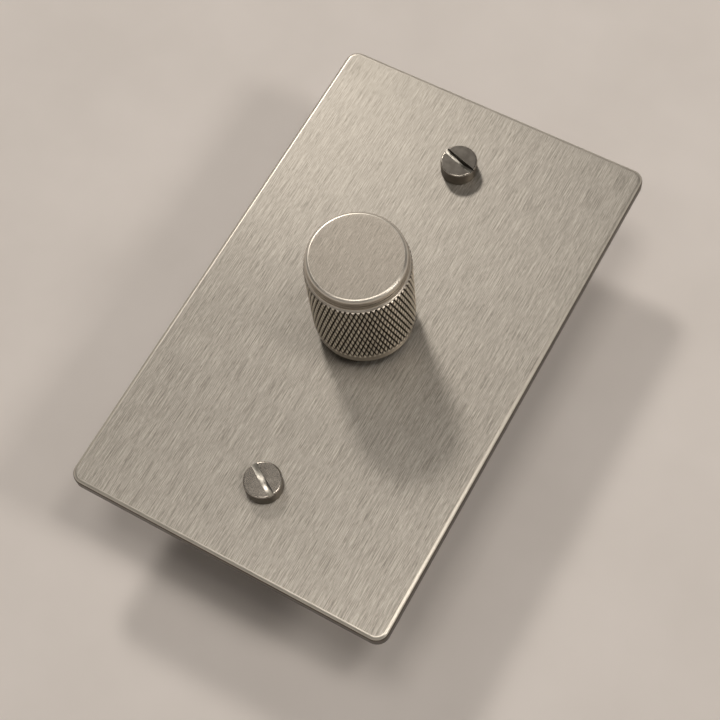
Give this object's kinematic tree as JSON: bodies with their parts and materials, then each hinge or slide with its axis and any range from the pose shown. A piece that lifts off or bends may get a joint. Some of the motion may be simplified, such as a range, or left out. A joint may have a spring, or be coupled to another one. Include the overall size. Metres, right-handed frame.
{
  "type": "rotary dimmer switch",
  "caption": "Wall dimmer: brushed metal face plate, knurled knob that turns to dim and pushes to switch, slotted fixing screws and a control module behind.",
  "frame": {"origin": "centre of the face plate's rear face, on the wall plane, midway between the two fixing screws", "axes": "+Z along the knob's axis out of the wall, +Y up the plate, +X to the right seen from the front"},
  "size_m": [0.0734, 0.118, 0.0555],
  "materials": {
    "plate_metal": "long straight brush grain, satin",
    "knob_metal": "diamond knurl, brushed top",
    "screw_metal": "turned, satin",
    "zinc_steel": "zinc plated",
    "brass": "machined",
    "shaft_steel": "turned",
    "dark_moulding": "fine texture",
    "pale_moulding": "smooth",
    "board": "solder resist",
    "carbon_track": "carbon film",
    "sink_aluminium": "mill finish",
    "ferrite": "sintered",
    "copper_wire": "enamelled wire",
    "film_case": "potted box",
    "fuse_body": "ceramic tube with metal caps"
  },
  "bodies": {
    "housing": {"face_plate": "plate_metal", "plate_screws": "screw_metal", "mounting_strap": "zinc_steel", "case_screws": "zinc_steel", "triac_screw": "zinc_steel", "terminal_screws": "zinc_steel", "lock_washer": "zinc_steel", "return_spring": "zinc_steel", "threaded_bush": "brass", "bush_nut": "brass", "earth_screw": "brass", "terminal_clamps": "brass", "fuse_clips": "brass", "fixed_contacts": "brass", "module_case": "dark_moulding", "module_cover": "dark_moulding", "switch_housing": "dark_moulding", "power_triac": "dark_moulding", "control_housing": "pale_moulding", "terminal_block": "pale_moulding", "timing_resistors": "pale_moulding", "circuit_board": "board", "resistive_track": "carbon_track", "heat_sink": "sink_aluminium", "choke_core": "ferrite", "choke_winding": "copper_wire", "film_capacitor": "film_case", "fuse": "fuse_body"},
    "rotor": {"wiper_carrier": "pale_moulding", "wiper_contact": "brass"},
    "spindle": {"control_shaft": "shaft_steel", "knob": "knob_metal", "knob_insert": "pale_moulding"},
    "plunger": {"switch_plunger": "pale_moulding", "contact_bridge": "brass"}
  },
  "joints": [
    {"name": "knob_turn", "type": "hinge", "parent": "housing", "child": "rotor", "pos_m": [0, 0, 0], "axis": [0, 0, 1], "range_deg": [-140, 140]},
    {"name": "knob_push", "type": "slide", "parent": "rotor", "child": "spindle", "axis": [0, 0, -1], "range_m": [0, 0.0015], "stiffness_N_per_m": 900, "springref_m": -0.003},
    {"name": "plunger_push", "type": "slide", "parent": "housing", "child": "plunger", "axis": [0, 0, -1], "range_m": [0, 0.0015], "deforming": ["return_spring"]}
  ],
  "couplings": [
    {"joint": "plunger_push", "follows": "knob_push", "ratio": 1}
  ]
}
